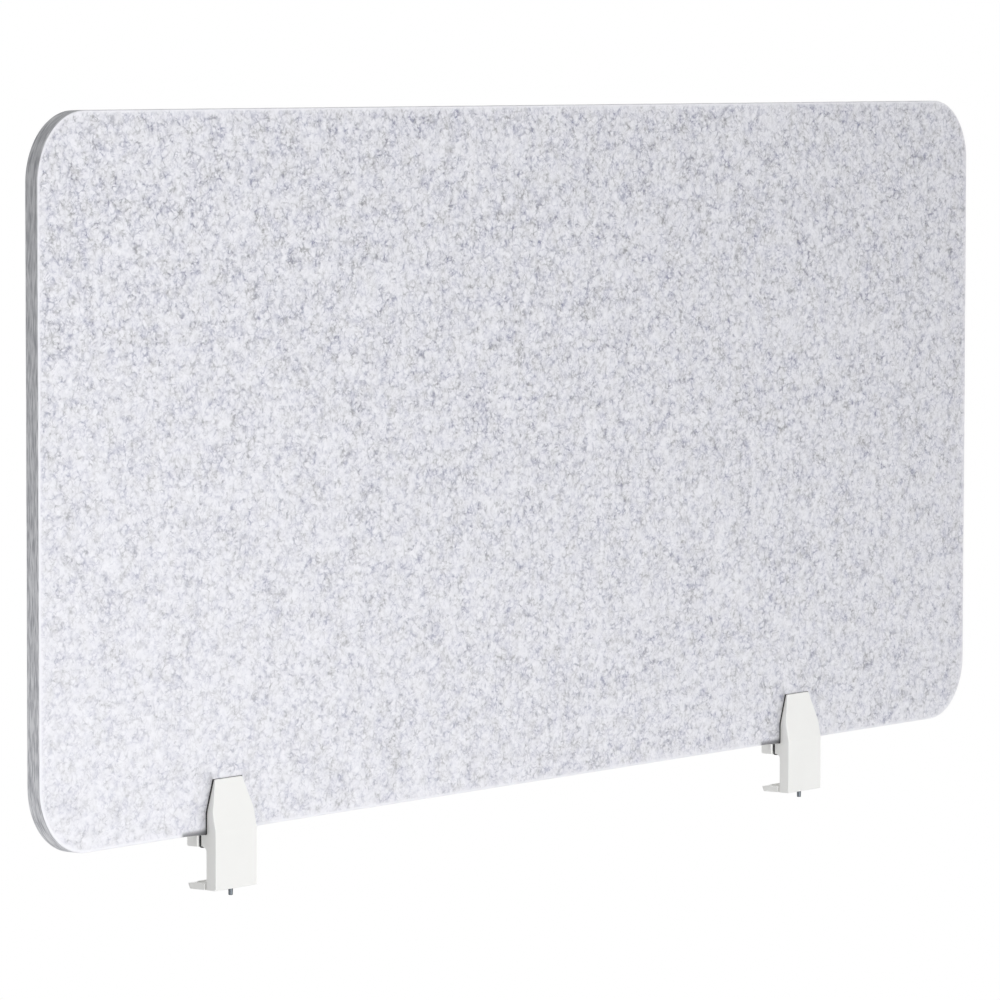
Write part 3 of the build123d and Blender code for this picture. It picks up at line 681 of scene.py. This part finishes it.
def studio_world(settings):
    """Pale light from all round; what the camera and glossy surfaces see of it is white."""
    world = bpy.data.worlds.new("studio_world")
    world.use_nodes = True
    tree = world.node_tree
    tree.nodes.clear()
    light = add_node(
        tree, "Background", {"Color": settings.world_colour, "Strength": settings.world_strength}
    )
    white = add_node(tree, "Background", {"Color": (1, 1, 1), "Strength": 1.0})
    both = add_node(tree, "MixShader", {0: seen_rays(tree), 1: light, 2: white})
    output = tree.nodes.new("ShaderNodeOutputWorld")
    tree.links.new(both, output.inputs["Surface"])
    bpy.context.scene.world = world


def softbox(name, place, aim, size, power):
    """A square lamp of the given size at a place, facing the point that it is aimed at."""
    lamp = bpy.data.lights.new(name, "AREA")
    lamp.shape = "SQUARE"
    lamp.size = size
    lamp.energy = power
    holder = bpy.data.objects.new(name, lamp)
    bpy.context.scene.collection.objects.link(holder)
    holder.location = place
    holder.rotation_euler = (Vector(place) - Vector(aim)).to_track_quat("Z", "Y").to_euler()
    holder.visible_camera = False


def place_camera(settings):
    """The photograph's camera: its place and angles were solved from the board's four corners."""
    data = bpy.data.cameras.new("photo_camera")
    data.sensor_width = SENSOR_WIDTH
    data.lens = settings.lens
    data.clip_start, data.clip_end = 0.1, 200
    camera = bpy.data.objects.new("photo_camera", data)
    bpy.context.scene.collection.objects.link(camera)
    yaw, pitch, roll = settings.camera_yaw, settings.camera_pitch, settings.camera_roll
    level = Vector((math.sin(yaw), math.cos(yaw), 0))
    right = Vector((math.cos(yaw), -math.sin(yaw), 0))
    up = Vector((0, 0, 1))
    forward = level * math.cos(pitch) - up * math.sin(pitch)
    upright = up * math.cos(pitch) + level * math.sin(pitch)
    side = right * math.cos(roll) + upright * math.sin(roll)
    upright = upright * math.cos(roll) - right * math.sin(roll)
    turn = Matrix((side, upright, -forward)).transposed()
    camera.matrix_world = Matrix.Translation(settings.camera_place) @ turn.to_4x4()
    bpy.context.scene.camera = camera


# Settings


class FeltBoardSettings(bpy.types.PropertyGroup):
    """Sizes and fibre colours of the board."""

    corner_radius: FloatProperty(
        name="Corner radius", description="Radius of the board's four corners", default=0.05, unit="LENGTH"
    )
    edge_rounding: FloatProperty(
        name="Edge rounding", description="Radius between face and cut edge", default=1.0 * MM, unit="LENGTH"
    )
    grid_step: FloatProperty(
        name="Grid", description="Spacing of the surface's lines", default=12 * MM, unit="LENGTH"
    )
    # Painted highlight along the rim: the distance over which it fades
    rim_highlight_width: FloatProperty(
        name="Rim width", description="Distance over which the pale rim fades",
        default=1.4 * MM, unit="LENGTH",
    )
    pad_taper: FloatProperty(
        name="Pad taper", description="Share of its width lost at the top", default=0.33, subtype="FACTOR"
    )
    skin_reach: FloatProperty(
        name="Skin reach", description="Reach of the pressed felt beyond a pad",
        default=29 * MM, unit="LENGTH",
    )
    skin_step: FloatProperty(
        name="Skin grid", description="Spacing of the pressed felt's lines", default=2.1 * MM, unit="LENGTH"
    )
    skin_film: FloatProperty(
        name="Skin film", description="Height of the skin on the board", default=0.03 * MM, unit="LENGTH"
    )
    skin_depth: FloatProperty(
        name="Skin depth", description="Depth of the skin in the board", default=0.4 * MM, unit="LENGTH"
    )
    bulge: FloatProperty(
        name="Bulge", description="Swell of the felt beside a pad", default=2.0 * MM, unit="LENGTH"
    )
    groove_radius: FloatProperty(
        name="Groove radius", description="Radius of the felt's shoulder along a pad",
        default=3.8 * MM, unit="LENGTH",
    )
    # Painted shadow of the clamps on the felt: its strength and reach along a pad's flank and along the
    # border, and its share on a pad's right
    flank_painted_shadow: FloatProperty(
        name="Press shade", description="Brightness lost along a pad's flank", default=0.92, subtype="FACTOR"
    )
    flank_shadow_reach: FloatProperty(
        name="Press reach", description="Distance over which that shade fades",
        default=4.6 * MM, unit="LENGTH",
    )
    border_painted_shadow: FloatProperty(
        name="Edge shade", description="Brightness lost along the border", default=0.7, subtype="FACTOR"
    )
    border_shadow_reach: FloatProperty(
        name="Edge reach", description="Height over which that shade fades", default=3.6 * MM, unit="LENGTH"
    )
    right_shadow_share: FloatProperty(
        name="Right shade", description="Share of these shades on a pad's right",
        default=0.1, subtype="FACTOR",
    )
    waviness: FloatProperty(
        name="Waviness", description="Depth of the slow waves in the faces", default=0.12 * MM, unit="LENGTH"
    )
    cut_roughness: FloatProperty(
        name="Cut roughness", description="Unevenness of the cut edge", default=0.08 * MM, unit="LENGTH"
    )
    pale_fibre: FloatVectorProperty(
        name="Pale fibres", description="Colour of the pale fibres",
        default=from_hex("#EEEEF3"), subtype="COLOR",
    )
    grey_fibre: FloatVectorProperty(
        name="Grey fibres", description="Colour of the bluish fibres",
        default=from_hex("#9092A8"), subtype="COLOR",
    )
    warm_fibre: FloatVectorProperty(
        name="Neutral fibres", description="Colour of neutral fibres",
        default=from_hex("#9A9A9F"), subtype="COLOR",
    )
    cut_pale: FloatVectorProperty(
        name="Pale layers", description="Paler layers of the cut edge",
        default=from_hex("#D2D3D6"), subtype="COLOR",
    )
    cut_grey: FloatVectorProperty(
        name="Grey layers", description="Darker layers of the cut edge",
        default=from_hex("#9A9BA1"), subtype="COLOR",
    )


class ClampSettings(bpy.types.PropertyGroup):
    """Colours of the clamps' coat and rubber, and sizes of their screws."""

    coat_colour: FloatVectorProperty(
        name="Coat", description="Colour of the powder coat", default=from_hex("#F4F4F2"), subtype="COLOR"
    )
    coat_shade: FloatVectorProperty(
        name="Coat shade", description="Second tone of the powder coat",
        default=from_hex("#F1F1EF"), subtype="COLOR",
    )
    # Black of the rubber pads; their edges round the plates also stand in for the shade in the seams, a
    # painted shade
    rubber_and_seam_shade: FloatVectorProperty(
        name="Rubber", description="Colour of the rubber pads", default=from_hex("#2A2A2B"), subtype="COLOR"
    )
    rubber_bloom: FloatVectorProperty(
        name="Rubber bloom", description="Paler patches of the rubber",
        default=from_hex("#3D3D3D"), subtype="COLOR",
    )
    silicone_colour: FloatVectorProperty(
        name="Silicone", description="Colour of the lower jaws' pads",
        default=from_hex("#ECECE8"), subtype="COLOR",
    )
    silicone_bloom: FloatVectorProperty(
        name="Silicone bloom", description="Greyer patches of those pads",
        default=from_hex("#E2E2DE"), subtype="COLOR",
    )
    zinc_pale: FloatVectorProperty(
        name="Zinc, pale", description="Pale tone of the zinc plating",
        default=from_hex("#C9CBCD"), subtype="COLOR",
    )
    zinc_dark: FloatVectorProperty(
        name="Zinc, dark", description="Dark tone of the zinc plating",
        default=from_hex("#9EA2A6"), subtype="COLOR",
    )
    black_pale: FloatVectorProperty(
        name="Blacked, pale", description="Pale tone of the blacked steel",
        default=from_hex("#7C8288"), subtype="COLOR",
    )
    black_dark: FloatVectorProperty(
        name="Blacked, dark", description="Dark tone of the blacked steel",
        default=from_hex("#565C62"), subtype="COLOR",
    )
    thread_radius: FloatProperty(
        name="Thread radius", description="Outer radius of the M4 threads", default=2.0 * MM, unit="LENGTH"
    )
    pitch: FloatProperty(
        name="Pitch", description="Rise of the M4 thread in a turn", default=0.7 * MM, unit="LENGTH"
    )
    thread_depth: FloatProperty(
        name="Thread depth", description="Depth of the thread's grooves", default=0.38 * MM, unit="LENGTH"
    )
    head_length: FloatProperty(
        name="Head length", description="Length of a grip screw's head", default=4.0 * MM, unit="LENGTH"
    )
    grip_key: FloatProperty(
        name="Grip screw key", description="Width of a grip screw's key", default=3.0 * MM, unit="LENGTH"
    )
    jaw_key: FloatProperty(
        name="Jaw screw key", description="Width of a jaw screw's key", default=2.0 * MM, unit="LENGTH"
    )
    drive_radius: FloatProperty(
        name="Drive radius", description="Radius of the jaw screw's drive end",
        default=1.8 * MM, unit="LENGTH",
    )
    drive_length: FloatProperty(
        name="Drive length", description="Length of the jaw screw's drive end",
        default=6.0 * MM, unit="LENGTH",
    )
    collar_length: FloatProperty(
        name="Collar length", description="Length of the jaw screw's collar", default=1.1 * MM, unit="LENGTH"
    )
    groove_height: FloatProperty(
        name="Groove height", description="Height of the clip groove", default=18.1 * MM, unit="LENGTH"
    )
    groove_length: FloatProperty(
        name="Groove length", description="Width of the clip groove", default=0.7 * MM, unit="LENGTH"
    )
    groove_radius: FloatProperty(
        name="Groove radius", description="Radius inside the clip groove", default=1.6 * MM, unit="LENGTH"
    )


class StudioSettings(bpy.types.PropertyGroup):
    """The floor, the lamps and the camera."""

    floor_drop: FloatProperty(
        name="Floor drop", description="Height of the desk top above it", default=0.72, unit="LENGTH"
    )
    floor_size: FloatProperty(name="Floor size", description="Side of the floor", default=60.0, unit="LENGTH")
    shadow_reach: FloatProperty(
        name="Shadow reach", description="Radius where the floor keeps its shade", default=1.6, unit="LENGTH"
    )
    floor_colour: FloatVectorProperty(
        name="Floor colour", description="Colour of the floor paint",
        default=from_hex("#F2F2F2"), subtype="COLOR",
    )
    world_colour: FloatVectorProperty(
        name="World colour", description="Colour of the light all round",
        default=(1.0, 1.0, 1.0), subtype="COLOR",
    )
    world_strength: FloatProperty(
        name="World strength", description="Strength of the light all round", default=0.38, min=0
    )
    front_power: FloatProperty(
        name="Front lamp", description="Power of the lamp in front of the board", default=415.0, unit="POWER"
    )
    top_power: FloatProperty(
        name="Top lamp", description="Power of the lamp above the board", default=14.0, unit="POWER"
    )
    rear_power: FloatProperty(
        name="Rear lamp", description="Power of the lamp behind the board", default=42.0, unit="POWER"
    )
    lens: FloatProperty(
        name="Lens", description="Focal length in millimetres on a 36 mm sensor",
        default=223.353, subtype="NONE",
    )
    camera_place: FloatVectorProperty(
        name="Camera place", description="Where the camera stands",
        default=(-3.85555, -2.80152, 0.57497), subtype="XYZ",
    )
    camera_yaw: FloatProperty(
        name="Camera yaw", description="Turn of the view from +Y towards +X",
        default=math.radians(53.548), subtype="ANGLE",
    )
    camera_pitch: FloatProperty(
        name="Camera pitch", description="How far the view looks down",
        default=math.radians(4.177), subtype="ANGLE",
    )
    camera_roll: FloatProperty(
        name="Camera roll", description="Roll of the camera", default=math.radians(0.1053), subtype="ANGLE"
    )


# Operators


class SCREEN_OT_felt_board(bpy.types.Operator):
    """Builds the felt board over its CAD solid, and the felt that the clamps squeeze."""

    bl_idname = "screen.felt_board"
    bl_label = "Felt board"

    def execute(self, context):
        settings = context.scene.felt_board
        felt = pressed_pet_felt(settings)
        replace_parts(build_felt_board(felt, settings), "acoustic_panel")
        for side in SIDES:
            build_pressed_felt(side, felt, settings)
        return {"FINISHED"}


class SCREEN_OT_castings(bpy.types.Operator):
    """Coats the front bodies, rear plates and lower jaws."""

    bl_idname = "screen.castings"
    bl_label = "Coated castings"

    def execute(self, context):
        coat = powder_coat(context.scene.clamps)
        names = [f"{side}_{part}" for side in SIDES for part in ("front_body", "rear_plate", "lower_jaw")]
        finish_nodes(names, coat)
        return {"FINISHED"}


class SCREEN_OT_rubber_pads(bpy.types.Operator):
    """Finishes the black grip pads and seat pads and the white pads of the lower jaws."""

    bl_idname = "screen.rubber_pads"
    bl_label = "Rubber pads"

    def execute(self, context):
        clamps = context.scene.clamps
        black = moulded_rubber("nitrile_rubber_moulded", clamps.rubber_and_seam_shade, clamps.rubber_bloom)
        white = moulded_rubber("silicone_rubber_moulded", clamps.silicone_colour, clamps.silicone_bloom)
        parts = ("front_grip_pad", "rear_grip_pad", "upper_jaw_pad", "rear_foot_pad")
        # The black pads are real grip and seat pads; where their edges stand out round the plates they also
        # stand in for the shade in the seams between clamp and felt, a painted shade
        finish_nodes([f"{side}_{part}" for side in SIDES for part in parts], black)
        finish_nodes([f"{side}_lower_jaw_pad" for side in SIDES], white)
        return {"FINISHED"}


class SCREEN_OT_hardware(bpy.types.Operator):
    """Builds the screws with their threads, and finishes the nuts and clips."""

    bl_idname = "screen.hardware"
    bl_label = "Screws, nuts and clips"

    def execute(self, context):
        clamps = context.scene.clamps
        zinc = plated_steel("zinc_plated_steel", clamps.zinc_pale, clamps.zinc_dark, 0.28, 0.42)
        blacked = plated_steel("blacked_steel", clamps.black_pale, clamps.black_dark, 0.3, 0.46)
        for side in SIDES:
            for place in ("outer", "inner"):
                build_grip_screw(side, place, zinc, clamps)
            build_jaw_screw(side, blacked, clamps)
        finish_nodes([f"{side}_clamp_nut" for side in SIDES], zinc)
        finish_nodes([f"{side}_jaw_screw_clip" for side in SIDES], blacked)
        return {"FINISHED"}


class SCREEN_OT_studio(bpy.types.Operator):
    """Sets up the floor, the world, the lamps and the camera."""

    bl_idname = "screen.studio"
    bl_label = "Studio"

    def execute(self, context):
        studio = context.scene.studio
        studio_floor(studio)
        studio_world(studio)
        softbox("front_softbox", *FRONT_LAMP, studio.front_power)
        softbox("top_softbox", *TOP_LAMP, studio.top_power)
        softbox("rear_softbox", *REAR_LAMP, studio.rear_power)
        place_camera(studio)
        context.scene.view_settings.view_transform = "Standard"
        return {"FINISHED"}


OPERATORS = (
    SCREEN_OT_felt_board,
    SCREEN_OT_castings,
    SCREEN_OT_rubber_pads,
    SCREEN_OT_hardware,
    SCREEN_OT_studio,
)


class SCREEN_PT_panel(bpy.types.Panel):
    """Lists the screen's pieces and the studio."""

    bl_idname = "SCREEN_PT_panel"
    bl_label = "Desk screen"
    bl_space_type = "VIEW_3D"
    bl_region_type = "UI"
    bl_category = "Desk screen"

    def draw(self, context):
        for operator in OPERATORS:
            self.layout.operator(operator.bl_idname)
        for group in (context.scene.felt_board, context.scene.clamps, context.scene.studio):
            box = self.layout.box()
            for name in group.__annotations__:
                box.prop(group, name)


CLASSES = (FeltBoardSettings, ClampSettings, StudioSettings, *OPERATORS, SCREEN_PT_panel)


def register():
    """Registers the classes and hangs the settings on the scene."""
    for entry in CLASSES:
        bpy.utils.register_class(entry)
    bpy.types.Scene.felt_board = PointerProperty(type=FeltBoardSettings)
    bpy.types.Scene.clamps = PointerProperty(type=ClampSettings)
    bpy.types.Scene.studio = PointerProperty(type=StudioSettings)


def unregister():
    """Takes the settings and the classes away again."""
    del bpy.types.Scene.felt_board, bpy.types.Scene.clamps, bpy.types.Scene.studio
    for entry in reversed(CLASSES):
        bpy.utils.unregister_class(entry)


def main():
    """Makes every piece and the studio."""
    register()
    bpy.ops.screen.felt_board()
    bpy.ops.screen.castings()
    bpy.ops.screen.rubber_pads()
    bpy.ops.screen.hardware()
    bpy.ops.screen.studio()


if __name__ == "__main__":
    main()
